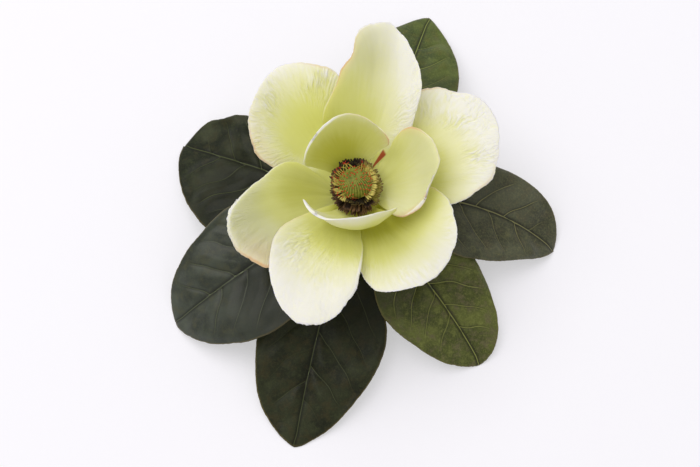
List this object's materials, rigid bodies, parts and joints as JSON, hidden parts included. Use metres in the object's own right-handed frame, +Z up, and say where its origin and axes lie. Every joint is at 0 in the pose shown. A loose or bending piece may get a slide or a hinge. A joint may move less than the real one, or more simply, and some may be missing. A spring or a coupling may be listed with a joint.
{
  "type": "magnolia flower",
  "caption": "Open magnolia bloom lying face up: cupped inner petals round a stamen-ringed cone of carpels, broad outer petals, a ring of leaves and a short cut twig.",
  "frame": {"origin": "on the resting surface, under the middle of the whole flower with its leaves", "axes": "+Z up out of the open flower, +Y from the bottom leaf's tip towards the top petal, +X to the right seen from above"},
  "size_m": [0.237, 0.2819, 0.0934],
  "materials": {
    "petal": "matte, creamy white to yellow-green",
    "leaf": "satin dark green with pale midrib",
    "carpels": "matte yellow-green with red stigmas",
    "stamens_yellow": "matte straw yellow",
    "stamens_brown": "matte dark brown",
    "twig": "rough bark"
  },
  "bodies": {
    "root": {"petal_outer_1": "petal", "petal_outer_2": "petal", "petal_outer_3": "petal", "petal_outer_4": "petal", "petal_outer_5": "petal", "petal_outer_6": "petal", "petal_inner_1": "petal", "petal_inner_2": "petal", "petal_inner_3": "petal", "leaf_1": "leaf", "leaf_2": "leaf", "leaf_3": "leaf", "leaf_4": "leaf", "leaf_5": "leaf", "leaf_6": "leaf", "carpels": "carpels", "stamens_yellow": "stamens_yellow", "stamens_brown": "stamens_brown", "twig": "twig"}
  },
  "joints": []
}
